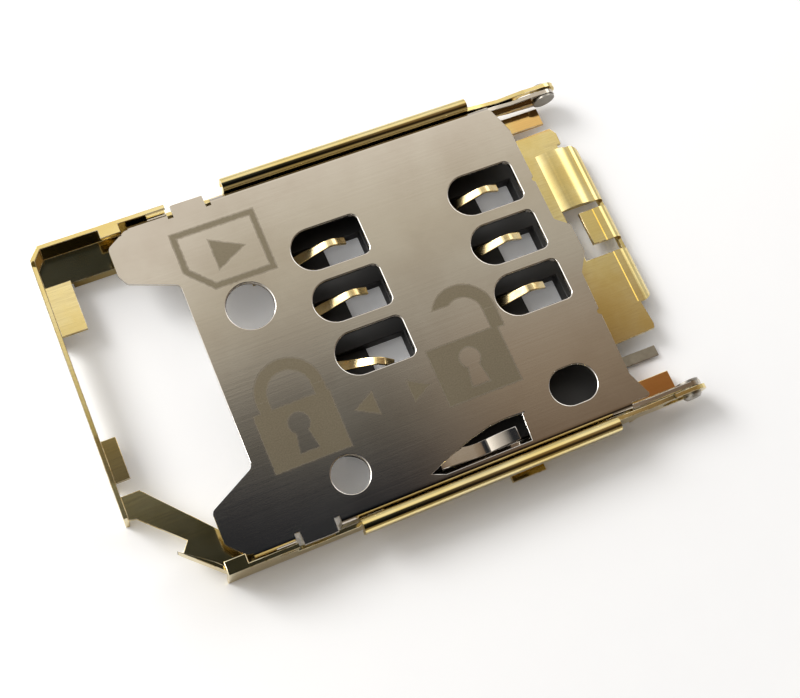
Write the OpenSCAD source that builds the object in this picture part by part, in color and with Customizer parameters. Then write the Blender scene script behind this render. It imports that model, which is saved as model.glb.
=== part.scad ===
// Sim card connector with a sliding, flip-up metal cover.
// Real size in millimetres, standing on its solder plane at z = 0.
// The hinge is at the +X end, the finger opening at the -X end.

/* [Overall] */
// Distance between the outer ends along the card's length
body_l = 25.6; // [25.6:0.1:26.4]
// Height of the cover's top face over the solder plane
cover_z = 2.0; // [1.95:0.01:2.1]
// Thickness of the frame's sheet
sheet = 0.2; // [0.15:0.01:0.22]
// Thickness of the cover's sheet
skin = 0.2; // [0.15:0.01:0.2]

/* [Card and contacts] */
// Card contact pitch along the card
pitch_x = 7.62; // [7.4:0.02:7.7]
// Card contact pitch across the card
pitch_y = 2.54; // [2.4:0.02:2.6]
// Height of the card's underside
card_z = 1.0; // [0.98:0.01:1.02]
// Width of a contact spring
leaf_w = 0.5; // [0.4:0.02:0.56]
// Thickness of a contact spring
leaf_t = 0.14; // [0.1:0.01:0.16]
// Height of a free contact's crest
crest_z = 1.5; // [1.3:0.01:1.6]
// Slope of a contact's rising leaf, in degrees
leaf_rise = 36; // [32:1:40]
// Sideways bend of the bent contact, in degrees
bent_yaw = 21; // [0:1:21]

/* [Cover] */
// Half width of the cover's flat
flat_y = 7.5; // [7.45:0.01:7.52]
// Length of a contact window
win_l = 3.36; // [3.0:0.02:3.5]
// Width of a contact window
win_w = 1.94; // [1.7:0.02:2.0]
// Diameter of the larger round hole
hole_a_d = 2.1; // [1.6:0.05:2.3]
// Diameter of the smaller round hole
hole_b_d = 1.64; // [1.2:0.02:1.8]

/* [Hinge and lock] */
// Travel from open to locked
travel = 1.0; // [0.8:0.05:1.0]
// Radius of a hinge pin
pin_r = 0.42; // [0.38:0.01:0.44]
// Running clearance round a hinge pin
pin_gap = 0.03; // [0.02:0.005:0.04]
// Height of the hinge pins
pin_z = 1.1; // [1.08:0.01:1.12]

/* [Carrier] */
// Height of the moulded carrier
carrier_top = 0.85; // [0.8:0.01:0.88]
// Half width of the moulded carrier
carrier_y = 7.0; // [6.9:0.01:7.0]

/* [Hidden] */
$fn = 64;
end_x = body_l / 2;
side_gap = 0.07;
bend_r = 0.25;
flange_y = flat_y + bend_r;
wall_y = flange_y + side_gap;
wall_out = wall_y + sheet;
hem_out = wall_y + 0.63;
foot_out = 8.58;
lip_gap = 0.04;
frame_top = cover_z + lip_gap + sheet;
floor_z = card_z - 0.02;
floor_in = 6.45;
inner_x = -end_x + sheet;
wall_end_x = -6.65;
hem_x0 = -3.92;
hem_x1 = 8.07;
low_wall = 1.25;
lip_x0 = -9.7;
lip_x1 = -8.78;
tab_x0 = -6.4;
tab_x1 = -4.9;
tab_y = flange_y + 0.22;
notch_w = 0.25;
cover_low = cover_z - skin;
rail_z = floor_z - sheet;
rail_in = carrier_y + 0.1;
rail_x0 = -3.6;
rail_x1 = 8.9;
eye_r = 0.7;
pin_x = end_x - eye_r;
cross_x = 9.3;
cross_z = 0.6;
plate_z = card_z - 0.05;
roll_r = 0.62;
roll_x = end_x - roll_r;
crease_x = end_x - 0.93;
plate_x = end_x - 0.8;
opening_x = end_x - 2.3;
corner_x = 3.2 - end_x;
crease_w = 0.1;
crease_deep = 0.06;
col_a = -0.3;
col_b = col_a + pitch_x;
row_mid = 1.31;
window_off = -0.2;
contact_mid = row_mid + 0.24;
leaf_root_z = 0.42;
leaf_root_x = -2.95;
leaf_seat_x = -2.0;
carrier_x0 = -3.2;
ledge_x0 = carrier_x0 + 0.7;
ledge_x1 = cross_x - 1;
detect_x = 4.6;
detect_y = -5.45;
detect_w = 0.5;

function row_y(n) = contact_mid + (2 - n) * pitch_y;

// One side of a sheet strip that follows a path, at a distance from its middle
function strip_side(path, d) =
  let (last = len(path) - 1)
  [for (i = [0 : last])
    let (
      before = path[max(i, 1)] - path[max(i, 1) - 1],
      after = path[min(i, last - 1) + 1] - path[min(i, last - 1)],
      n1 = [-before[1], before[0]] / norm(before),
      n2 = [-after[1], after[0]] / norm(after),
      m = (n1 + n2) / norm(n1 + n2)
    )
    path[i] + m * d / (m * n1)];

// Section of a bent sheet strip
module strip(path, thick) {
  upper = strip_side(path, thick / 2);
  lower = strip_side(path, -thick / 2);
  last = len(path) - 1;
  polygon(concat(upper, [for (i = [last : -1 : 0]) lower[i]]));
}

// A plain slab between two corners
module slab(x0, x1, y0, y1, z0, z1) {
  translate([x0, y0, z0])
    cube([x1 - x0, y1 - y0, z1 - z0]);
}

// A flat outline drawn in x and z, made as thick as y0 to y1
module side_cut(y0, y1) {
  translate([0, y1, 0])
    rotate([90, 0, 0])
      linear_extrude(y1 - y0)
        children();
}

// A flat outline drawn in y and z, made as long as x0 to x1
module long_cut(x0, x1) {
  translate([x0, 0, 0])
    rotate([90, 0, 90])
      linear_extrude(x1 - x0)
        children();
}

// Both sides of the part from one drawing of the +Y side
module both_sides() {
  children();
  mirror([0, 1, 0])
    children();
}

// Side wall with its rounded hem, low middle stretch and hinge eye
module frame_side() {
  hem_r = (hem_out - wall_y) / 2;
  hem_mid = wall_y + hem_r;
  hem_c = frame_top - hem_r;
  // wall under the hem
  slab(hem_x0, hem_x1, wall_y, wall_out, 0, hem_c);
  // the hem itself, folded outward and down
  long_cut(hem_x0, hem_x1) {
    intersection() {
      translate([hem_mid, hem_c])
        difference() {
          circle(r = hem_r);
          circle(r = hem_r - sheet);
        }
      translate([wall_y - 1, hem_c])
        square([3, 2]);
    }
    translate([hem_out - sheet, hem_c - 0.45])
      square([sheet, 0.45]);
  }
  // low stretch that joins the two ends
  slab(wall_end_x - 0.4, hem_x0 + 0.2, wall_y, wall_out, 0, low_wall);
  // left wall, slotted for the cover's lock tab
  difference() {
    slab(lip_x0, wall_end_x, wall_y, wall_out, 0, frame_top);
    slab(tab_x0 - travel - 0.1, wall_end_x + 1, wall_y - 1, wall_out + 1,
         cover_low - 0.06, cover_z + lip_gap);
  }
  // lip that holds the locked cover's corner
  slab(lip_x0, lip_x1, flat_y - 0.08, wall_out, cover_z + lip_gap, frame_top);
  // solder foot
  slab(3.22, 4.82, wall_y, foot_out, 0, sheet);
  // floor the moulding sits on
  slab(ledge_x0, ledge_x1, floor_in + 0.15, wall_out, 0, sheet);
  // hinge end of the wall with its slotted eye
  eye_z = pin_z;
  slot_r = pin_r + pin_gap;
  side_cut(wall_y, wall_out)
    difference() {
      union() {
        // the wall narrows from the hem to the neck of the eye
        polygon([
          [hem_x1 - 0.2, eye_z + 0.82], [hem_x1 - 0.2, 0.3], [cross_x - 0.4, 0.3],
          [cross_x + 0.4, eye_z - eye_r + 0.12], [pin_x - travel, eye_z - eye_r],
          [pin_x - travel, eye_z + eye_r], [cross_x + 0.4, eye_z + eye_r - 0.12],
          [cross_x - 0.6, eye_z + 0.72]
        ]);
        for (x = [pin_x - travel, pin_x])
          translate([x, eye_z])
            circle(r = eye_r);
        translate([pin_x - travel, eye_z - eye_r])
          square([travel, 2 * eye_r]);
      }
      translate([pin_x - travel, eye_z - slot_r])
        square([travel, 2 * slot_r]);
      for (x = [pin_x - travel, pin_x])
        translate([x, eye_z])
          circle(r = slot_r);
    }
}

// End wall, supporting tabs, skirted floor strips and the cut corner
module frame_finger_end() {
  // end wall, lower between the tabs
  difference() {
    slab(-end_x, inner_x, -4.3, wall_out - 0.55, 0, cover_z - 0.1);
    slab(-end_x - 1, inner_x + 1, -0.4, 4.0, -1, floor_z - sheet);
    slab(-end_x - 1, inner_x + 1, -3.1, -2.7, -1, floor_z - sheet);
  }
  // +Y side: corner, wall, floor strip and its skirt
  linear_extrude(frame_top)
    polygon([
      [-end_x, wall_out - 0.56], [-end_x + 0.48, wall_out],
      [lip_x0 + 0.1, wall_out], [lip_x0 + 0.1, wall_y],
      [-end_x + 0.56, wall_y], [inner_x, wall_out - 0.64]
    ]);
  // the floor strip dips a little toward the card
  floor_dip = 7;
  translate([0, wall_y, floor_z])
    rotate([floor_dip, 0, 0])
      translate([0, -wall_y, -sheet])
        linear_extrude(sheet)
          polygon([
            [inner_x - 0.1, floor_in], [wall_end_x, floor_in],
            [wall_end_x, wall_y + 0.1], [-end_x + 0.5, wall_y + 0.1],
            [inner_x - 0.1, wall_out - 0.6]
          ]);
  skirt_y = floor_in + 0.07;
  slab(inner_x + 1.25, wall_end_x - 0.3, skirt_y, skirt_y + sheet, 0,
       floor_z - sheet / 2 - (wall_y - floor_in) * sin(floor_dip));
  // the two tabs under the card's end
  slab(inner_x - 0.1, inner_x + 1.15, 4.2, floor_in + 0.1, floor_z - sheet, floor_z);
  slab(inner_x - 0.1, inner_x + 0.65, -2.6, -0.7, floor_z - sheet, floor_z);
  // -Y side: slanted strip, corner plate and floor strip
  translate([0, 0, floor_z - sheet])
    linear_extrude(sheet)
      polygon([
        [inner_x - 0.1, -3.2], [inner_x + 0.82, -3.2],
        [corner_x + 0.1, -5.72], [corner_x + 0.7, -floor_in],
        [wall_end_x, -floor_in], [wall_end_x, -wall_y - 0.1],
        [corner_x + 0.25, -wall_y - 0.1], [corner_x, -7.65],
        [corner_x - 1.5, -6.4], [corner_x - 1.08, -5.88],
        [inner_x + 0.3, -4.3], [inner_x - 0.1, -4.2]
      ]);
  slab(-8.6, wall_end_x - 0.3, -floor_in - sheet, -floor_in, 0, floor_z);
  // upright stop for the card's cut corner
  translate([0, 0, floor_z - sheet])
    linear_extrude(0.85)
      polygon([
        [corner_x - 1.5, -6.4], [corner_x - 1.63, -6.25],
        [corner_x - 0.28, -7.28], [corner_x + 0.05, -7.62],
        [corner_x + 0.25, -7.86], [corner_x, -7.8]
      ]);
}

// Plan of a rolled flap, with its corners rounded to the given radii
module flap_plan(y0, y1, r_low, r_high) {
  r_big = max(r_low, r_high);
  x0 = crease_x - 0.05;
  translate([x0, y0])
    square([end_x - r_big - x0, y1 - y0]);
  translate([x0, y0 + r_low])
    square([end_x - x0, y1 - y0 - r_low - r_high]);
  if (r_low > 0)
    translate([end_x - r_low, y0 + r_low])
      circle(r = r_low);
  if (r_high > 0)
    translate([end_x - r_high, y1 - r_high])
      circle(r = r_high);
}

// Rolled edge of the end plate over one stretch of its width
module roll(y0, y1, r_low, r_high) {
  intersection() {
    side_cut(y0, y1) {
      intersection() {
        translate([roll_x, plate_z - roll_r])
          difference() {
            circle(r = roll_r);
            circle(r = roll_r - sheet);
          }
        translate([roll_x, plate_z - roll_r])
          square([2, 2]);
      }
      translate([roll_x + roll_r - sheet, 0.15])
        square([sheet, plate_z - roll_r - 0.15]);
      translate([crease_x + crease_w / 2, plate_z - sheet])
        square([roll_x - crease_x, sheet]);
    }
    translate([0, 0, -1])
      linear_extrude(4)
        flap_plan(y0, y1, r_low, r_high);
  }
}

// Cross wall, end plate with its rolled flaps, tongue and corner floors
module frame_hinge_end() {
  // cross wall, notched over the detect contact's tail
  difference() {
    slab(cross_x, cross_x + sheet, -wall_out, wall_out, 0, cross_z);
    slab(cross_x - 1, cross_x + 1, -5.85, -5.05, -1, 0.3);
  }
  slab(cross_x, cross_x + sheet, -4.7, 6.2, cross_z - 0.1, plate_z);
  // flat of the plate with its finger opening
  translate([0, 0, plate_z - sheet])
    linear_extrude(sheet)
      difference() {
        polygon([
          [cross_x, -4.7], [plate_x, -4.62], [plate_x + 0.08, -4.4],
          [plate_x - 0.02, -3.2],
          [crease_x - crease_w / 2, -3.2], [crease_x - crease_w / 2, 4.95],
          [plate_x - 0.25, 4.95], [plate_x - 0.25, 5.2],
          [plate_x - 0.02, 5.2], [plate_x, 5.75], [plate_x - 0.2, 6.1],
          [cross_x, 6.0]
        ]);
        translate([opening_x, -0.6])
          square([5, 2.6]);
      }
  // shallow crown of the upper flap
  crown = 0.2;
  crown_half = 0.8;
  crown_r = (crown_half * crown_half + crown * crown) / (2 * crown);
  side_cut(2.0, 4.95)
    intersection() {
      translate([opening_x + crown_half, plate_z + crown - crown_r])
        difference() {
          circle(r = crown_r, $fn = 256);
          circle(r = crown_r - sheet, $fn = 256);
        }
      translate([opening_x, plate_z - sheet])
        square([2 * crown_half, 1]);
    }
  roll(2.0, 4.95, 0, 0.62);
  roll(-3.25, -0.6, 0.62, 0);
  roll(0.02, 1.66, 0, 0);
  // rim that joins the lower ends of the rolled flaps
  slab(roll_x + roll_r - sheet, roll_x + roll_r, -2.6, 4.3, 0.15, 0.4);
  // tongue in the opening
  slab(opening_x + 0.7, crease_x - crease_w / 2, 0.02, 1.66, plate_z - sheet, plate_z);
  // coined groove where the plate and tongue meet their rolls
  for (span = [[-3.25, -0.6], [0.02, 1.66], [2.0, 4.95]])
    slab(crease_x - 0.1, crease_x + 0.1, span[0], span[1],
         plate_z - sheet - 0.02, plate_z - crease_deep);
  // corner floors beside the plate
  both_sides()
    slab(cross_x, plate_x - 0.2, floor_in + 0.1, 7.4, cross_z - sheet, cross_z);
}

module frame() {
  color([0.83, 0.68, 0.33])
    union() {
      both_sides()
        frame_side();
      frame_finger_end();
      frame_hinge_end();
    }
}

// Outline of one contact from the side, crest over x = 0
module leaf_outline(tail) {
  t = leaf_t;
  crest_r = 0.55;
  droop = 33;
  crest_c = [0, crest_z - t / 2 - crest_r];
  start = crest_c + crest_r * [-sin(leaf_rise), cos(leaf_rise)];
  end = crest_c + crest_r * [sin(droop), cos(droop)];
  root_mid = leaf_root_z + t / 2;
  strip([
    // tail, riser and root
    [leaf_root_x - tail, t / 2], [leaf_root_x + t / 2, t / 2],
    [leaf_root_x + t / 2, root_mid],
    // rising leaf
    [start[0] - (start[1] - root_mid) / tan(leaf_rise), root_mid],
    // round crest
    for (a = [-leaf_rise : (leaf_rise + droop) / 6 : droop + 0.01])
      crest_c + crest_r * [sin(a), cos(a)],
    // drooping tip
    end + 0.5 * [cos(droop), -sin(droop)]
  ], t);
}

module contact_body(x, y, yaw) {
  half = leaf_w / 2;
  color([0.86, 0.7, 0.34])
    translate([x, y, 0])
      if (yaw == 0)
        side_cut(-half, half)
          leaf_outline(0.75);
      else
        union() {
          intersection() {
            side_cut(-half, half)
              leaf_outline(0.75);
            slab(-6, leaf_seat_x, -2, 2, -1, 3);
          }
          translate([leaf_seat_x, 0, 0])
            rotate([0, 0, -yaw])
              translate([-leaf_seat_x, 0, 0])
                intersection() {
                  side_cut(-half, half)
                    leaf_outline(0.75);
                  slab(leaf_seat_x - 0.1, 3, -2, 2, -1, 3);
                }
        }
}

module contact_a1() { contact_body(col_a, row_y(1), 0); }
module contact_a2() { contact_body(col_a, row_y(2), 0); }
module contact_a3() { contact_body(col_a, row_y(3), bent_yaw); }
module contact_b1() { contact_body(col_b, row_y(1), 0); }
module contact_b2() { contact_body(col_b, row_y(2), 0); }
module contact_b3() { contact_body(col_b, row_y(3), 0); }

// Contact of the card switch, whose tail leaves beside the end plate
module detect_contact() {
  t = leaf_t;
  r = detect_x;
  color([0.62, 0.58, 0.5])
    side_cut(detect_y - detect_w / 2, detect_y + detect_w / 2)
      union() {
        translate([r, 0.08])
          square([end_x - 0.85 - r, t]);
        translate([r, 0.08])
          square([t, 0.5]);
        polygon([
          [r, 0.44], [r, 0.58], [r - 1.3, 1.14], [r - 1.7, 1.2], [r - 2.0, 1.14],
          [r - 2.3, 1.0], [r - 2.3, 0.86], [r - 2.0, 1.0], [r - 1.7, 1.06],
          [r - 1.36, 1.0], [r - 0.1, 0.44]
        ]);
      }
}

module contact_pocket(x, y, low) {
  half = leaf_w / 2;
  // slot through the moulding under the free tip
  slab(x - 0.15, x + 1.6, y - low, y + half + 0.06, -1, 3);
  // trough under the rising leaf
  slab(x + leaf_seat_x - 0.1, x - 0.1, y - low, y + half + 0.06, 0.3, 3);
  // exact seat for the root
  slab(x + leaf_root_x, x + leaf_seat_x, y - half, y + half,
       -1, leaf_root_z + leaf_t);
  // room for the solder tail
  slab(x - 4.0, x + leaf_root_x, y - 0.6, y + 0.6, -1, 3);
}

module carrier() {
  color([0.07, 0.07, 0.075])
    difference() {
      union() {
        slab(carrier_x0, cross_x, -6.6, 6.6, 0.05, carrier_top);
        slab(ledge_x0, ledge_x1, -carrier_y, carrier_y, sheet, carrier_top);
      }
      for (n = [1, 2, 3])
        for (x = [col_a, col_b])
          contact_pocket(x, row_y(n), n == 3 && x == col_a ? 1.4 : 1.0);
      // slot for the detect contact's leaf
      slab(detect_x - 2.7, detect_x, detect_y - 0.42, detect_y + 0.42, -1, 3);
      slab(detect_x - 0.1, detect_x + leaf_t, detect_y - detect_w / 2,
           detect_y + detect_w / 2, -1, 0.58);
      // its bar runs in a groove to the hinge end
      slab(detect_x, 12, detect_y - detect_w / 2, detect_y + detect_w / 2,
           -1, 0.08 + leaf_t);
      // relief under the smaller round hole
      translate([-3.43, -5.95, -1])
        cylinder(r = 1.15, h = 4);
    }
}

module hinge_pin() {
  inner = flange_y - skin - pin_gap;
  color([0.5, 0.47, 0.4])
    translate([pin_x, 0, pin_z])
      rotate([-90, 0, 0]) {
        translate([0, 0, inner - 0.08])
          cylinder(r = pin_r + 0.12, h = 0.08);
        translate([0, 0, inner - 0.05])
          cylinder(r = pin_r, h = wall_out + 0.1 - inner + 0.05);
        translate([0, 0, wall_out + 0.1])
          cylinder(r1 = pin_r, r2 = pin_r - 0.1, h = 0.1);
      }
}

module pin_left() { hinge_pin(); }
module pin_right() { mirror([0, 1, 0]) hinge_pin(); }

// D-shaped window: round at its left, square at its right
module window(x1, y) {
  r = win_w / 2;
  c = 0.32;
  translate([x1, y, cover_low - 1])
    linear_extrude(3) {
      translate([-win_l + r, 0])
        circle(r = r);
      translate([-win_l + r, -r])
        square([win_l - r - c, win_w]);
      translate([-c - 0.01, -r + c])
        square([c + 0.01, win_w - 2 * c]);
      for (s = [-1, 1])
        translate([-c, s * (r - c)])
          circle(r = c, $fn = 32);
    }
}

// Corner rounded with short chords: previous, corner, next and radius
function fillet(a, b, c, r) =
  let (
    u = (a - b) / norm(a - b),
    v = (c - b) / norm(c - b),
    w = (u + v) / norm(u + v),
    half = acos(u * v) / 2,
    mid = b + w * r / sin(half),
    t0 = b + u * r / tan(half) - mid,
    t1 = b + v * r / tan(half) - mid,
    a0 = atan2(t0[1], t0[0]),
    d = atan2(t0[0] * t1[1] - t0[1] * t1[0], t0 * t1)
  )
  [for (i = [0 : 5]) mid + r * [cos(a0 + d * i / 5), sin(a0 + d * i / 5)]];

// Outline points as x, y and corner radius
cover_pts = [
  [-8.62, flat_y, 0.3], [9.07, flat_y, 0.1], [9.36, 6.75, 0.15],
  [9.53, 6.2, 0.15], [9.53, 1.48, 0.15], [10.15, 0.98, 0.2],
  [10.17, -0.45, 0.2], [9.6, -1.3, 0.15], [9.5, -6.3, 0.2],
  [9.98, -flat_y, 0.1], [-8.75, -flat_y, 0.5], [-9.4, -6.75, 0.35],
  [-9.42, -5.35, 0.3], [-7.23, -4.2, 0.3], [-7.23, 4.35, 0.25],
  [-9.3, 5.15, 0.3], [-9.55, 5.6, 0.25], [-9.55, 6.95, 0.35]
];

module cover_outline() {
  n = len(cover_pts);
  polygon([
    for (i = [0 : n - 1])
      let (
        p = cover_pts[(i + n - 1) % n],
        q = cover_pts[i],
        s = cover_pts[(i + 1) % n]
      )
      each fillet([p[0], p[1]], [q[0], q[1]], [s[0], s[1]], q[2])
  ]);
}

// Bend and upright flange between two places, down to a height
module flange(x0, x1, low) {
  long_cut(x0, x1) {
    intersection() {
      translate([flat_y, cover_z - bend_r])
        difference() {
          circle(r = bend_r);
          circle(r = bend_r - skin);
        }
      translate([flat_y, cover_z - bend_r])
        square([2, 2]);
    }
    translate([flange_y - skin, low])
      square([skin, cover_z - bend_r - low]);
  }
}

// One side of the cover: flanges, card rail, lock tab and hinge arm
module cover_side() {
  flange(-8.45, tab_x0 - notch_w, 1.1);
  flange(tab_x1 + notch_w, 9.0, rail_z);
  // rail that carries the card
  slab(rail_x0, rail_x1, rail_in, flange_y, rail_z, rail_z + skin);
  // lock tab
  slab(tab_x0, tab_x1, flat_y - 0.3, tab_y, cover_low, cover_z);
  // hinge arm
  side_cut(flange_y - skin, flange_y)
    difference() {
      union() {
        polygon([
          [8.8, rail_z], [8.8, cover_z - bend_r], [9.5, cover_z - bend_r - 0.08],
          [10.3, pin_z + 0.5], [pin_x, pin_z + 0.58], [pin_x, pin_z - 0.58],
          [10.3, pin_z - 0.42], [9.8, rail_z]
        ]);
        translate([pin_x, pin_z])
          circle(r = 0.58);
      }
      translate([pin_x, pin_z])
        circle(r = pin_r + pin_gap);
    }
}

// Opening beside the lanced spring finger
module finger_opening() {
  translate([0, 0, cover_low - 0.5])
    linear_extrude(2)
      polygon([
        [-0.39, -7.2], [0.57, -6.8], [1.71, -6.46], [2.76, -6.22],
        [3.48, -6.17], [4.28, -6.2], [4.2, -7.42], [0.2, -7.42]
      ]);
}

// Spring finger lanced from the opening, pressing on the card
module spring_finger() {
  mid = cover_z - skin / 2;
  side_cut(-7.2, -6.6)
    strip([
      [0.1, mid], [0.6, mid], [1.75, mid - 0.36], [2.2, mid - 0.42],
      [2.5, mid - 0.35], [3.15, mid - 0.06], [3.8, mid - 0.02]
    ], skin * 0.9);
}

module cover() {
  color([0.72, 0.7, 0.66])
    union() {
      difference() {
        union() {
          translate([0, 0, cover_low])
            linear_extrude(skin)
              cover_outline();
          both_sides()
            cover_side();
        }
        // relief notches beside the lock tabs
        both_sides()
          for (x = [tab_x0 - notch_w, tab_x1])
            slab(x, x + notch_w, flat_y - 0.12, 9, cover_low - 0.1, 3);
        // contact windows
        for (n = [1, 2, 3]) {
          window(1.15, row_y(n) + window_off);
          window(1.15 + pitch_x, row_y(n) + window_off);
        }
        // round and long holes
        translate([-4.75, 2.4, 1])
          cylinder(d = hole_a_d, h = 2);
        translate([-3.55, -5.95, 1])
          cylinder(d = hole_b_d, h = 2);
        translate([6.96, -5.85, 1]) {
          for (x = [-0.25, 0.25])
            translate([x, 0, 0])
              cylinder(r = 0.83, h = 2);
          translate([-0.25, -0.83, 0])
            cube([0.5, 1.66, 2]);
        }
        finger_opening();
        // small locating nicks in the hinge edge
        for (y = [3.6, -3.24])
          translate([9.55, y, 1])
            cylinder(r = 0.13, h = 2, $fn = 24);
      }
      spring_finger();
    }
}

// Each node is drawn alone when it is asked for
frame();
carrier();
contact_a1();
contact_a2();
contact_a3();
contact_b1();
contact_b2();
contact_b3();
detect_contact();
pin_left();
pin_right();
cover();
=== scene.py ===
import math

import bmesh
import bpy
from mathutils import Matrix, Vector


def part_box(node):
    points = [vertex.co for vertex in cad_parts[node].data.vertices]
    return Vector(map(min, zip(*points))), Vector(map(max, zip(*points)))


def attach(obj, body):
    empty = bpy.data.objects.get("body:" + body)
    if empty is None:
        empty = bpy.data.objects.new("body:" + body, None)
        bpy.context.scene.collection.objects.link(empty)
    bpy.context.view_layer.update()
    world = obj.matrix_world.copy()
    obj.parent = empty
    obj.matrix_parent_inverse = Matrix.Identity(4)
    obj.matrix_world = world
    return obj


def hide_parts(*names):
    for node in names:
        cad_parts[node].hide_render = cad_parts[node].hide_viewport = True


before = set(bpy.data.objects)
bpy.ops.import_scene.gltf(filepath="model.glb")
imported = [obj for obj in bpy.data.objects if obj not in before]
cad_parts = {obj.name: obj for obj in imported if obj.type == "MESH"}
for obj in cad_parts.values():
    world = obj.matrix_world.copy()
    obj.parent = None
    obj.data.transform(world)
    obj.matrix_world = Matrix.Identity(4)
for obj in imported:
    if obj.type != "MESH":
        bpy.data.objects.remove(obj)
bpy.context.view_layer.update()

# The frame is one strip of gold-plated brass, stamped, then folded up into walls with rounded
# hems, card supports, hinge eyes and the sprung end plate. It is soldered to the circuit board.
# Its cut edges are slightly rounded and pale where the plating has thinned.
mm = 0.001
sharp_turn = math.radians(40)
shortest_edge = 0.3
same_curve = 0.93


def rounded(
    node, name, width, face_finish, edge_finish, segments=2, wide=None, keep=None
):
    """A copy of a stamped or moulded piece with its sharp edges broken.

    Flat faces stay flat and the broken edges, which take the second finish, turn between them.
    wide is a width and a test on an edge's two ends: edges that pass it get that width.
    keep is a test for edges that stay as they are. The tests take their ends in millimetres.
    """
    merged = 0.002 * mm
    flat = math.radians(1.0)
    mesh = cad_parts[node].data.copy()
    bm = bmesh.new()
    bm.from_mesh(mesh)
    bmesh.ops.remove_doubles(bm, verts=bm.verts, dist=merged)
    bmesh.ops.dissolve_limit(bm, angle_limit=flat, verts=bm.verts, edges=bm.edges)
    bm.to_mesh(mesh)
    bm.free()
    mesh.materials.clear()
    mesh.materials.append(face_finish.material)
    mesh.materials.append(edge_finish.material)
    for face in mesh.polygons:
        face.material_index = 0
    source = bpy.data.objects.new(name + "_source", mesh)
    bpy.context.scene.collection.objects.link(source)
    sides = {}
    for face in mesh.polygons:
        for key in face.edge_keys:
            sides.setdefault(key, []).append(face.normal)
    rim_weight = mesh.attributes.new("rim", "FLOAT", "EDGE").data
    long_weight = mesh.attributes.new("long", "FLOAT", "EDGE").data
    for edge in mesh.edges:
        ends = [mesh.vertices[i].co / mm for i in edge.vertices]
        pair = sides[tuple(sorted(edge.vertices))]
        if pair[0].angle(pair[-1]) < sharp_turn:
            continue
        if wide and wide[1](*ends):
            rim_weight[edge.index].value = 1.0
        elif (ends[1] - ends[0]).length > shortest_edge and not (keep and keep(*ends)):
            long_weight[edge.index].value = 1.0
    widths = {"rim": wide[0], "long": width} if wide else {"long": width}
    for label, reach in widths.items():
        bevel = source.modifiers.new(label, "BEVEL")
        bevel.width = reach * mm
        bevel.segments = segments
        bevel.limit_method = "WEIGHT"
        bevel.edge_weight = label
        bevel.use_clamp_overlap = False
        bevel.material = 1
    finished = bpy.data.meshes.new_from_object(
        source.evaluated_get(bpy.context.evaluated_depsgraph_get())
    )
    bpy.data.objects.remove(source)
    bm = bmesh.new()
    bm.from_mesh(finished)
    bmesh.ops.remove_doubles(bm, verts=bm.verts, dist=merged)
    bmesh.ops.dissolve_degenerate(bm, edges=bm.edges, dist=merged / 2)
    bm.to_mesh(finished)
    bm.free()
    around = [[] for _ in finished.vertices]
    for face in finished.polygons:
        face.use_smooth = True
        for corner in face.vertices:
            around[corner].append(face)
    smooth = []
    for face in finished.polygons:
        for corner in face.vertices:
            own = [f for f in around[corner] if f.material_index == 0]
            turn = Vector()
            for f in own or around[corner]:
                if face.material_index or f.normal.dot(face.normal) > same_curve:
                    turn += f.normal * (1.0 if face.material_index else f.area**2)
            smooth.append(turn.normalized() if turn.length else face.normal)
    finished.normals_split_custom_set(smooth)
    piece = bpy.data.objects.new(name, finished)
    bpy.context.scene.collection.objects.link(piece)
    return piece


class Wire:
    """One socket of a finish. Sums on it add Math nodes to the finish."""

    def __init__(self, tree, socket):
        self.tree = tree
        self.socket = socket

    def node(self, kind, settings=None, values=None, out=0):
        made = self.tree.nodes.new(kind)
        for key, value in (settings or {}).items():
            if key == "stops":
                ramp = made.color_ramp
                while len(ramp.elements) < len(value):
                    ramp.elements.new(0.5)
                for stop, (place, colour) in zip(ramp.elements, value):
                    stop.position = place
                    stop.color = (*colour, 1.0) if len(colour) == 3 else colour
            else:
                setattr(made, key, value)
        for key, value in (values or {}).items():
            target = made.inputs[key]
            if isinstance(value, Wire):
                self.tree.links.new(value.socket, target)
            elif isinstance(value, tuple) and len(value) == 3 and target.type == "RGBA":
                target.default_value = (*value, 1.0)
            else:
                target.default_value = value
        return Wire(self.tree, made.outputs[out])

    def sum(self, operation, a, b=0.0, c=0.0):
        return self.node(
            "ShaderNodeMath", {"operation": operation}, {0: a, 1: b, 2: c}
        )

    def __add__(self, other):
        return self.sum("ADD", self, other)

    def __radd__(self, other):
        return self.sum("ADD", other, self)

    def __sub__(self, other):
        return self.sum("SUBTRACT", self, other)

    def __rsub__(self, other):
        return self.sum("SUBTRACT", other, self)

    def __mul__(self, other):
        return self.sum("MULTIPLY", self, other)

    def __rmul__(self, other):
        return self.sum("MULTIPLY", other, self)

    def __truediv__(self, other):
        return self.sum("DIVIDE", self, other)

    def __pow__(self, other):
        return self.sum("POWER", self, other)

    def __abs__(self):
        return self.sum("ABSOLUTE", self)

    def least(self, other):
        return self.sum("MINIMUM", self, other)

    def most(self, other):
        return self.sum("MAXIMUM", self, other)

    def ramp(self, low, high):
        """0 below low, 1 above high, smooth between."""
        return self.node(
            "ShaderNodeMapRange",
            {"interpolation_type": "SMOOTHSTEP"},
            {"Value": self, "From Min": low, "From Max": high},
        )

    def mix(self, low, high):
        """The colour low where the wire is 0, high where it is 1."""
        return self.node(
            "ShaderNodeMix", {"data_type": "RGBA"}, {0: self, 6: low, 7: high}, out=2
        )


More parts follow.
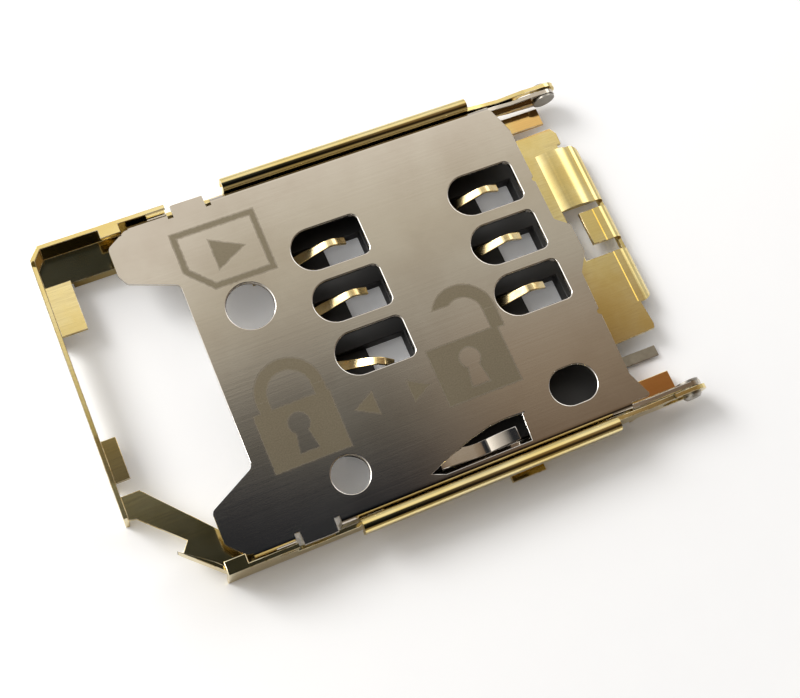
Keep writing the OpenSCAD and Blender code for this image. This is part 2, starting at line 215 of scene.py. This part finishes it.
class Finish:
    """A material with its place on the part in millimetres."""

    def __init__(self, name, metallic, **constants):
        self.material = bpy.data.materials.new(name)
        self.material.use_nodes = True
        self.tree = self.material.node_tree
        self.shader = self.tree.nodes["Principled BSDF"]
        self.shader.inputs["Metallic"].default_value = metallic
        for key, value in constants.items():
            self.shader.inputs[key.replace("_", " ")].default_value = value
        start = Wire(self.tree, None)
        where = start.node("ShaderNodeTexCoord", out=3)
        self.place = where.node(
            "ShaderNodeVectorMath", {"operation": "SCALE"}, {0: where, "Scale": 1000.0}
        )
        split = self.place.node("ShaderNodeSeparateXYZ", values={0: self.place})
        axes = split.socket.node.outputs
        self.x = Wire(self.tree, axes[0])
        self.y = Wire(self.tree, axes[1])
        self.z = Wire(self.tree, axes[2])

    def noise(self, per_mm, detail=3.0, rough=0.5, stretch=(1.0, 1.0, 1.0)):
        """Cloudy variation, about 0 to 1, with so many features in a millimetre."""
        spot = self.place.node(
            "ShaderNodeVectorMath",
            {"operation": "MULTIPLY"},
            {0: self.place, 1: stretch},
        )
        return spot.node(
            "ShaderNodeTexNoise",
            values={
                "Vector": spot,
                "Scale": per_mm,
                "Detail": detail,
                "Roughness": rough,
            },
        )

    def bump(self, height, strength, reach_mm):
        """Surface relief that feeds the shader's normal."""
        relief = height.node(
            "ShaderNodeBump",
            values={"Strength": strength, "Distance": reach_mm * mm, "Height": height},
        )
        self.tree.links.new(relief.socket, self.shader.inputs["Normal"])

    def set(self, name, wire):
        self.tree.links.new(wire.socket, self.shader.inputs[name])


gold_sheet = Finish("gold_sheet", 1.0)
cloud = gold_sheet.noise(0.35, 4.0, 0.6)
fine = gold_sheet.noise(9.0, 3.0, 0.6)
drawn = gold_sheet.noise(1.6, 3.0, 0.6, stretch=(0.35, 6.0, 6.0))
plated = cloud.ramp(0.35, 0.7).mix((0.84, 0.66, 0.26), (0.93, 0.80, 0.42))
tarnish = (cloud * 0.6 + drawn * 0.4).ramp(0.50, 0.70) * 0.3
tarnished = tarnish.mix(plated, (0.42, 0.26, 0.09))
# the second card tab is painted darker, a painted dark reflection, and the corner floors beside
# the hinge are heat-tinted
tab_x = -12.35
tab_y = -1.7
along_tab = abs(gold_sheet.x - tab_x)
across_tab = abs(gold_sheet.y - tab_y)
# painted dark reflection: the flat second card tab is painted darker in its gold colour
painted_tab_dark = (1.0 - along_tab.ramp(0.35, 0.6)) * (1.0 - across_tab.ramp(0.9, 1.2))
with_painted_tab_dark = (painted_tab_dark * 0.6).mix(tarnished, (0.30, 0.18, 0.05))
off_middle = abs(gold_sheet.y)
beside_hinge = off_middle.ramp(5.9, 6.1) * (1.0 - off_middle.ramp(7.3, 7.6))
low_down = 1.0 - gold_sheet.z.ramp(1.25, 1.4)
near_side = 1.0 - 0.5 * gold_sheet.y.ramp(-1.0, 1.0)
heat = beside_hinge * gold_sheet.x.ramp(9.6, 10.6) * low_down
heat = heat * (0.4 + 0.6 * cloud) * near_side
gold_sheet.set("Base Color", heat.mix(with_painted_tab_dark, (0.86, 0.30, 0.07)))
gold_sheet.set("Roughness", 0.05 + 0.07 * cloud + 0.04 * drawn)
gold_sheet.bump(drawn * 0.7 + fine * 0.3, 0.12, 0.008)

gold_edge = Finish("gold_edge", 1.0)
rubbed = gold_edge.noise(1.5, 3.0, 0.6)
gold_edge.set(
    "Base Color", rubbed.ramp(0.35, 0.6).mix((0.86, 0.66, 0.32), (0.95, 0.86, 0.62))
)
gold_edge.set("Roughness", 0.22 + 0.12 * rubbed)



def in_crease(a, b):
    """True in the fine groove and seam between the end plate and its rolled flaps."""
    seam_x = 12.05
    middle = (a + b) / 2
    return abs(middle.x - seam_x) < 0.3 and abs(middle.y) < 5.0


gold_frame = rounded(
    "frame", "gold_frame", 0.025, gold_sheet, gold_edge, keep=in_crease
)
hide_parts("frame")
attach(gold_frame, "base")

# The carrier is one black moulding of heat-proof plastic under the card. It is slotted under
# each contact so that the springs can dip, and it is staked into the frame's floor.
black_plastic = Finish("black_moulding", 0.0)
grain = black_plastic.noise(14.0, 4.0, 0.6)
flow = black_plastic.noise(0.5, 3.0, 0.5)
black_plastic.set("Base Color", flow.mix((0.012, 0.012, 0.013), (0.022, 0.021, 0.020)))
black_plastic.set("Roughness", 0.42 + 0.2 * grain)
black_plastic.bump(grain, 0.3, 0.01)

moulding = rounded("carrier", "moulding", 0.05, black_plastic, black_plastic)
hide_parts("carrier")
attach(moulding, "base")

# Six contact springs are cut from thin gold-plated bronze strip. Each rises out of the moulding,
# crests under the card's pad and droops to a free tip. The third of the first column is bent.
gold_spring = Finish("gold_spring", 1.0)
wiped = gold_spring.noise(2.0, 3.0, 0.6)
hair = gold_spring.noise(3.0, 2.0, 0.5, stretch=(0.3, 9.0, 3.0))
gold_spring.set(
    "Base Color", wiped.ramp(0.4, 0.75).mix((0.93, 0.76, 0.42), (0.84, 0.60, 0.26))
)
gold_spring.set("Roughness", 0.12 + 0.12 * wiped)
gold_spring.bump(hair, 0.2, 0.008)

leaf_thick = 0.14 * mm
root_height = 0.42 * mm
riser_x = -2.88 * mm
seat_x = -2.0 * mm
crest_radius = 0.55 * mm
rise = math.radians(30)
droop = math.radians(33)
drooping_end = 0.5 * mm
crest_from_tail = 3.7 * mm
crest_steps = 8
bent_sideways = {"a3": math.radians(-21)}


def bent_strip_tree():
    """Geometry Nodes that sweep a rounded strip along a kinked path, taper it and bend it."""
    group = bpy.data.node_groups.new("bent_strip", "GeometryNodeTree")
    face = group.interface
    face.new_socket("Path", in_out="INPUT", socket_type="NodeSocketGeometry")
    for name in ("Width", "Thickness", "Bend Radius", "Edge Radius", "Taper Start"):
        face.new_socket(name, in_out="INPUT", socket_type="NodeSocketFloat")
    for name in ("Taper End", "Narrowing", "Sideways Bend", "Bend Place"):
        face.new_socket(name, in_out="INPUT", socket_type="NodeSocketFloat")
    face.new_socket("Place", in_out="INPUT", socket_type="NodeSocketVector")
    face.new_socket("Finish", in_out="INPUT", socket_type="NodeSocketMaterial")
    face.new_socket("Strip", in_out="OUTPUT", socket_type="NodeSocketGeometry")
    source = group.nodes.new("NodeGroupInput")
    given = {socket.name: Wire(group, socket) for socket in source.outputs[:-1]}
    start = given["Path"]
    path = start.node("GeometryNodeMeshToCurve", values={"Mesh": start})
    path = start.node(
        "GeometryNodeFilletCurve",
        {"mode": "POLY"},
        {"Curve": path, "Radius": given["Bend Radius"], "Count": 5},
    )
    section = start.node(
        "GeometryNodeCurvePrimitiveQuadrilateral",
        values={"Width": given["Width"], "Height": given["Thickness"]},
    )
    section = start.node(
        "GeometryNodeFilletCurve",
        {"mode": "POLY"},
        {"Curve": section, "Radius": given["Edge Radius"], "Count": 3},
    )
    section = start.node(
        "GeometryNodeResampleCurve",
        {"mode": "LENGTH"},
        {"Curve": section, "Length": given["Edge Radius"]},
    )
    strip = start.node(
        "GeometryNodeCurveToMesh",
        values={"Curve": path, "Profile Curve": section, "Fill Caps": True},
    )
    here = start.node("GeometryNodeInputPosition")
    axes = here.node("ShaderNodeSeparateXYZ", values={0: here}).socket.node.outputs
    x, y, z = (Wire(group, axis) for axis in axes)
    narrow = x.ramp(given["Taper Start"], given["Taper End"]) * given["Narrowing"]
    tapered = here.node(
        "ShaderNodeCombineXYZ", values={0: x, 1: y * (1.0 - narrow), 2: z}
    )
    strip = start.node(
        "GeometryNodeSetPosition", values={"Geometry": strip, "Position": tapered}
    )
    pivot = here.node("ShaderNodeCombineXYZ", values={0: given["Bend Place"]})
    turned = here.node(
        "ShaderNodeVectorRotate",
        {"rotation_type": "Z_AXIS"},
        {"Vector": here, "Center": pivot, "Angle": given["Sideways Bend"]},
    )
    free = x.sum("GREATER_THAN", x, given["Bend Place"])
    strip = start.node(
        "GeometryNodeSetPosition",
        values={"Geometry": strip, "Selection": free, "Position": turned},
    )
    strip = start.node(
        "GeometryNodeSetPosition", values={"Geometry": strip, "Offset": given["Place"]}
    )
    strip = start.node("GeometryNodeSetShadeSmooth", values={"Geometry": strip})
    strip = start.node("GeometryNodeRealizeInstances", values={"Geometry": strip})
    strip = start.node(
        "GeometryNodeSetMaterial",
        values={"Geometry": strip, "Material": given["Finish"]},
    )
    end = group.nodes.new("NodeGroupOutput")
    group.links.new(strip.socket, end.inputs[0])
    return group


def swept(name, group, points, values):
    """The mesh that the tree makes from a path's corners, as a plain piece."""
    path = bpy.data.meshes.new(name)
    path.from_pydata(points, [(i, i + 1) for i in range(len(points) - 1)], [])
    source = bpy.data.objects.new(name + "_path", path)
    bpy.context.scene.collection.objects.link(source)
    modifier = source.modifiers.new("strip", "NODES")
    modifier.node_group = group
    for item in group.interface.items_tree:
        if item.in_out == "INPUT" and item.name in values:
            modifier[item.identifier] = values[item.name]
    mesh = bpy.data.meshes.new_from_object(
        source.evaluated_get(bpy.context.evaluated_depsgraph_get())
    )
    bpy.data.objects.remove(source)
    piece = bpy.data.objects.new(name, mesh)
    bpy.context.scene.collection.objects.link(piece)
    return piece


strip_tree = bent_strip_tree()
for column in ("a", "b"):
    tail_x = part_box("contact_" + column + "1")[0].x
    middle = tail_x + crest_from_tail
    for row in ("1", "2", "3"):
        low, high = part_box("contact_b" + row)
        crest = high.z
        centre_z = crest - leaf_thick / 2 - crest_radius
        root_z = root_height + leaf_thick / 2
        rise_x = -crest_radius * math.sin(rise)
        rise_z = centre_z + crest_radius * math.cos(rise)
        end_x = crest_radius * math.sin(droop)
        end_z = centre_z + crest_radius * math.cos(droop)
        corners_of_path = [
            (tail_x - middle, 0, leaf_thick / 2),
            (riser_x, 0, leaf_thick / 2),
            (riser_x, 0, root_z),
            (rise_x - (rise_z - root_z) / math.tan(rise), 0, root_z),
        ]
        for step in range(crest_steps + 1):
            turn_by = -rise + (rise + droop) * step / crest_steps
            corners_of_path.append(
                (
                    crest_radius * math.sin(turn_by),
                    0,
                    centre_z + crest_radius * math.cos(turn_by),
                )
            )
        corners_of_path.append(
            (
                end_x + drooping_end * math.cos(droop),
                0,
                end_z - drooping_end * math.sin(droop),
            )
        )
        label = column + row
        spring = swept(
            "spring_" + label,
            strip_tree,
            corners_of_path,
            {
                "Width": high.y - low.y,
                "Thickness": leaf_thick,
                "Bend Radius": 0.1 * mm,
                "Edge Radius": 0.03 * mm,
                "Taper Start": -1.6 * mm,
                "Taper End": 0.1 * mm,
                "Narrowing": 0.3,
                "Sideways Bend": bent_sideways.get(label, 0.0),
                "Bend Place": seat_x,
                "Place": (middle, (low.y + high.y) / 2, 0),
                "Finish": gold_spring.material,
            },
        )
        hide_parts("contact_" + label)
        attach(spring, "base")

# The card switch's contact is a narrower spring. Its dull tail leaves beside the end plate and
# is soldered to the board.
dull_spring = Finish("switch_spring", 1.0)
skin_tone = dull_spring.noise(2.5, 3.0, 0.6)
dull_spring.set(
    "Base Color", skin_tone.mix((0.25, 0.225, 0.18), (0.48, 0.43, 0.34))
)
dull_spring.set("Roughness", 0.3 + 0.25 * skin_tone)
dull_spring.bump(skin_tone, 0.2, 0.01)

switch_tail = rounded("detect_contact", "switch_tail", 0.025, dull_spring, dull_spring)
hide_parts("detect_contact")
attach(switch_tail, "base")

# Two turned hinge pins pass through the frame's slotted eyes and carry the cover's arms. They
# slide with the cover when it is locked.
pin_steel = Finish("hinge_pin", 1.0)
turned = pin_steel.noise(4.0, 3.0, 0.5, stretch=(1.0, 6.0, 1.0))
pin_steel.set("Base Color", turned.mix((0.30, 0.28, 0.25), (0.52, 0.49, 0.43)))
pin_steel.set("Roughness", 0.25 + 0.2 * turned)
pin_steel.bump(turned, 0.2, 0.01)

for side in ("left", "right"):
    pin = rounded("pin_" + side, "hinge_pin_" + side, 0.03, pin_steel, pin_steel)
    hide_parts("pin_" + side)
    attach(pin, "pins")

# The cover is one nickel-plated steel sheet with contact windows, bent down at both sides. It
# slides to lock and flips up to take the card. Its marks are etched matt into the plating.
nickel = Finish("nickel_sheet", 1.0)
x, y, z = nickel.x, nickel.y, nickel.z


def block(x0, x1, y0, y1):
    """Distance in millimetres to a rectangle on the cover, less than 0 inside it."""
    across = abs(x - (x0 + x1) / 2) - (x1 - x0) / 2
    along = abs(y - (y0 + y1) / 2) - (y1 - y0) / 2
    return across.most(along)


def disc(cx, cy, radius):
    """Distance to a round spot."""
    return ((x - cx) ** 2.0 + (y - cy) ** 2.0) ** 0.5 - radius


def corners(points):
    """Distance to a convex shape whose corners are given anticlockwise."""
    shape = None
    for (ax, ay), (bx, by) in zip(points, points[1:] + points[:1]):
        run = math.hypot(bx - ax, by - ay)
        nx = (by - ay) / run
        ny = (ax - bx) / run
        line = x * nx + y * ny - (ax * nx + ay * ny)
        shape = line if shape is None else shape.most(line)
    return shape


def minus(shape, hole):
    return shape.most(0.0 - hole)


def padlock(left, top, bow_x, bow_y, outer, inner, gap):
    """A padlock's body with its bow and keyhole, the bow cut open above gap."""
    body = block(left, left + 3.45, top - 2.65, top)
    bow = minus(disc(bow_x, bow_y, outer), disc(bow_x, bow_y, inner))
    bow = bow.most(bow_y - 0.05 - y)
    right_leg = block(bow_x + inner, bow_x + outer, top - 0.1, bow_y)
    shape = body.least(right_leg)
    if gap is None:
        shape = shape.least(bow).least(
            block(bow_x - outer, bow_x - inner, top - 0.1, bow_y)
        )
    else:
        shape = shape.least(bow.most((gap - y).least(bow_x - x)))
    key_x = left + 1.72
    key_y = top - 0.92
    foot = corners(
        [
            (key_x - 0.42, key_y - 1.25),
            (key_x + 0.42, key_y - 1.25),
            (key_x + 0.2, key_y),
            (key_x - 0.2, key_y),
        ]
    )
    return minus(shape, disc(key_x, key_y, 0.47).least(foot))


card_edge = [(-5.8, 3.75), (-3.15, 3.75), (-3.15, 6.5), (-6.78, 6.5), (-6.78, 4.8)]
card_mark = abs(corners(card_edge)) - 0.14
arrow_in_card = corners([(-5.4, 4.4), (-3.95, 5.12), (-5.4, 5.88)])
shut_lock = padlock(-6.45, -2.23, -4.6, -1.78, 1.52, 0.97, None)
open_lock = padlock(1.5, -2.2, 3.8, -1.3, 1.46, 0.84, -0.62)
arrows = corners([(-2.35, -3.5), (-1.35, -4.05), (-1.35, -2.98)]).least(
    corners([(0.2, -4.1), (1.15, -3.6), (0.2, -3.08)])
)
marks = card_mark.least(arrow_in_card).least(shut_lock).least(open_lock).least(arrows)
top_face = z.ramp(1.985, 1.995)
wobble = nickel.noise(6.0, 3.0, 0.6)
etched = (0.5 - (marks + (wobble - 0.5) * 0.12) / 0.1).least(1.0).most(0.0) * top_face

haze = nickel.noise(0.22, 4.0, 0.55)
pits = nickel.noise(16.0, 2.0, 0.7)
rolled = nickel.noise(1.2, 4.0, 0.65, stretch=(0.25, 7.0, 1.0))
scratch_a = nickel.noise(0.9, 2.0, 0.5, stretch=(0.18, 9.0, 1.0))
specks = pits.ramp(0.70, 0.78) * nickel.noise(0.5, 2.0).ramp(0.45, 0.65)
sheet_tone = haze.ramp(0.3, 0.7).mix((0.57, 0.51, 0.43), (0.65, 0.60, 0.52))
worn = (specks * 0.5).mix(sheet_tone, (0.90, 0.87, 0.82))
etch_tone = pits.ramp(0.3, 0.7).mix((0.21, 0.175, 0.11), (0.28, 0.24, 0.16))
nickel.set("Base Color", (etched * 0.85).mix(worn, etch_tone))
nickel.set(
    "Roughness",
    0.07 + 0.04 * haze + 0.03 * rolled + 0.26 * etched - 0.02 * scratch_a.ramp(0.6, 0.7),
)
nickel.bump(rolled * 0.45 + pits * 0.35 + scratch_a * 0.3 - etched * 0.15, 0.12, 0.01)

nickel_edge = Finish("nickel_edge", 1.0)
sheared = nickel_edge.noise(2.5, 3.0, 0.6)
nickel_edge.set("Base Color", sheared.mix((0.70, 0.66, 0.60), (0.84, 0.81, 0.77)))
nickel_edge.set("Roughness", 0.12 + 0.10 * sheared)

top_z = 2.0


def eased(a, b):
    """True on the upper edge of a window or hole, where the punch drew the sheet in.

    It is true too on the leading corner of a flange, which clears the frame when locked.
    """
    middle = (a + b) / 2
    inside = -6.8 < middle.y < 6.0 and -6.0 < middle.x < 9.0
    leading = middle.x < -8.4 and abs(middle.y) > 7.7 and abs(a.z - b.z) > 0.3
    return leading or (min(a.z, b.z) > top_z - 0.01 and inside)


cover = rounded(
    "cover", "cover_sheet", 0.025, nickel, nickel_edge, 3, wide=(0.06, eased)
)
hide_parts("cover")
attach(cover, "lid")

# The table is plain white paper. The connector stands on it on its solder plane.
paper = Finish("paper", 0.0)
pulp = paper.noise(0.6, 3.0, 0.5)
paper.set("Base Color", pulp.mix((0.915, 0.92, 0.94), (0.93, 0.935, 0.95)))
paper.set("Roughness", 0.75 + 0.1 * pulp)
# painted light: seen directly, the paper glows a little toward the window, standing in for its
# overexposure there
seen_directly = pulp.node("ShaderNodeLightPath")
painted_glow_toward_window = (paper.y * 0.9 - paper.x * 0.5).ramp(-24.0, 16.0)
paper.set(
    "Emission Color",
    (seen_directly * painted_glow_toward_window).mix((0.0, 0.0, 0.0), (0.18, 0.18, 0.18)),
)
paper.shader.inputs["Emission Strength"].default_value = 1.0
sheet = bpy.data.meshes.new("paper")
reach = 1.5
below = -0.01 * mm
four_corners = [(-reach, -reach), (reach, -reach), (reach, reach), (-reach, reach)]
sheet.from_pydata([(*corner, below) for corner in four_corners], [], [(0, 1, 2, 3)])
sheet.materials.append(paper.material)
floor = bpy.data.objects.new("paper", sheet)
bpy.context.scene.collection.objects.link(floor)

# Soft light comes from a window beyond the far left corner. The ceiling that the bare metal
# shows the camera darkens toward the near side, and is warm at the right.
room = bpy.data.worlds.new("room")
room.use_nodes = True
bpy.context.scene.world = room
tree = room.node_tree
tree.nodes.clear()
start = Wire(tree, None)
toward = start.node("ShaderNodeTexCoord", out=0)
split = toward.node("ShaderNodeSeparateXYZ", values={0: toward})
dx = Wire(tree, split.socket.node.outputs[0])
dy = Wire(tree, split.socket.node.outputs[1])
dz = Wire(tree, split.socket.node.outputs[2])
above = dz.ramp(0.3, 0.6)

# the ceiling brightens toward the window, at first slowly, and steeply at the far left
slant = dy + 0.15 * dx
steeper = (1.0 - dx.ramp(0.04, 0.16)) * (slant - 0.245).most(-0.02) * 3.0
overhead = ((slant - 0.16) / 0.26 + steeper).most(0.0).least(1.0)
tone = overhead.node(
    "ShaderNodeValToRGB",
    {
        "stops": [
            (0.0, (0.020, 0.024, 0.032)),
            (0.07, (0.040, 0.045, 0.055)),
            (0.115, (0.065, 0.070, 0.085)),
            (0.154, (0.105, 0.105, 0.105)),
            (0.23, (0.15, 0.148, 0.138)),
            (0.308, (0.185, 0.18, 0.165)),
            (0.392, (0.25, 0.245, 0.235)),
            (0.46, (0.38, 0.365, 0.33)),
            (0.538, (0.52, 0.50, 0.45)),
            (0.615, (0.61, 0.59, 0.53)),
            (0.71, (0.66, 0.62, 0.53)),
            (0.796, (0.69, 0.65, 0.55)),
            (0.846, (0.74, 0.70, 0.62)),
            (0.923, (0.85, 0.81, 0.73)),
            (1.0, (1.0, 0.96, 0.90)),
        ]
    },
    {0: overhead},
)

# a warm wall shows low at the right
warm = dx.ramp(0.20, 0.32) * (1.0 - slant.ramp(0.25, 0.31))
tone = warm.node(
    "ShaderNodeMix",
    {"data_type": "RGBA", "blend_type": "ADD"},
    {0: warm, 6: tone, 7: (0.19, 0.125, 0.068)},
    out=2,
)

# to the left of the camera the room is lit by its distance from the dark near corner
off_axis = ((dx - 0.12) ** 2.0 + (dy + 0.2) ** 2.0) ** 0.5 - 0.08 * dx
beside = ((off_axis - 0.36) / 0.26).most(0.0).least(1.0)
beside = beside.mix((0.03, 0.035, 0.045), (0.95, 0.92, 0.88))
tone = dx.ramp(-0.10, 0.05).mix(beside, tone)

# near the horizon the room is plain, and behind the camera it is dark
low_light = dy.ramp(-0.5, 0.3).mix((0.28, 0.24, 0.19), (0.61, 0.615, 0.64))
behind = dy.ramp(-0.5, -0.05).mix((0.14, 0.13, 0.12), (1.0, 1.0, 1.0))
high = tone.node(
    "ShaderNodeMix",
    {"data_type": "RGBA", "blend_type": "MULTIPLY"},
    {0: 1.0, 6: tone, 7: behind},
    out=2,
)
low = above.mix(low_light, high)


def nearness(direction):
    """1 where the sky is looked at along a direction, less away from it."""
    return start.node(
        "ShaderNodeVectorMath",
        {"operation": "DOT_PRODUCT"},
        {0: toward, 1: Vector(direction).normalized()},
        out=1,
    )


# the window pane, and the bright wall that faces it
pane = nearness((-0.70, 0.45, 0.55))
wall = nearness((0.70, 0.50, 0.55))
lit = pane.ramp(0.80, 0.95).mix(low, (2.4, 2.4, 2.35))
lit = wall.ramp(0.94, 0.985).mix(lit, (2.3, 2.3, 2.25))
path = start.node("ShaderNodeLightPath", out=0)
seen = path.mix(lit, (1.0, 1.0, 1.0))
sky = seen.node("ShaderNodeBackground", values={"Color": seen, "Strength": 1.0})
end = tree.nodes.new("ShaderNodeOutputWorld")
tree.links.new(sky.socket, end.inputs["Surface"])

window = bpy.data.lights.new("window", "SUN")
window.energy = 1.65
window.angle = math.radians(24)
window.color = (1.0, 0.99, 0.975)
window_light = bpy.data.objects.new("window", window)
bpy.context.scene.collection.objects.link(window_light)
window_light.rotation_euler = (
    Vector((-0.56, 0.58, 0.59)).to_track_quat("Z", "Y").to_euler()
)

# The camera looks down from the near left corner, as in the photograph.
lens = bpy.data.cameras.new("camera")
lens.sensor_fit = "HORIZONTAL"
lens.sensor_width = 36.0
lens.lens = 58.994
lens.shift_x = 0.05
lens.shift_y = -0.05125
lens.clip_start = 0.001
lens.clip_end = 10.0
camera = bpy.data.objects.new("camera", lens)
bpy.context.scene.collection.objects.link(camera)
right = Vector((0.916694, -0.384933, 0.107232))
up = Vector((0.33066127, 0.88141299, 0.33730441))
back = Vector((-0.22435568, -0.27374729, 0.93526839))
turn = Matrix((right, up, back)).transposed().to_4x4()
turn.translation = Vector((-13.087, -14.881, 55.012)) * mm
camera.matrix_world = turn
bpy.context.scene.camera = camera
bpy.context.scene.view_settings.view_transform = "Standard"

bpy.context.view_layer.update()
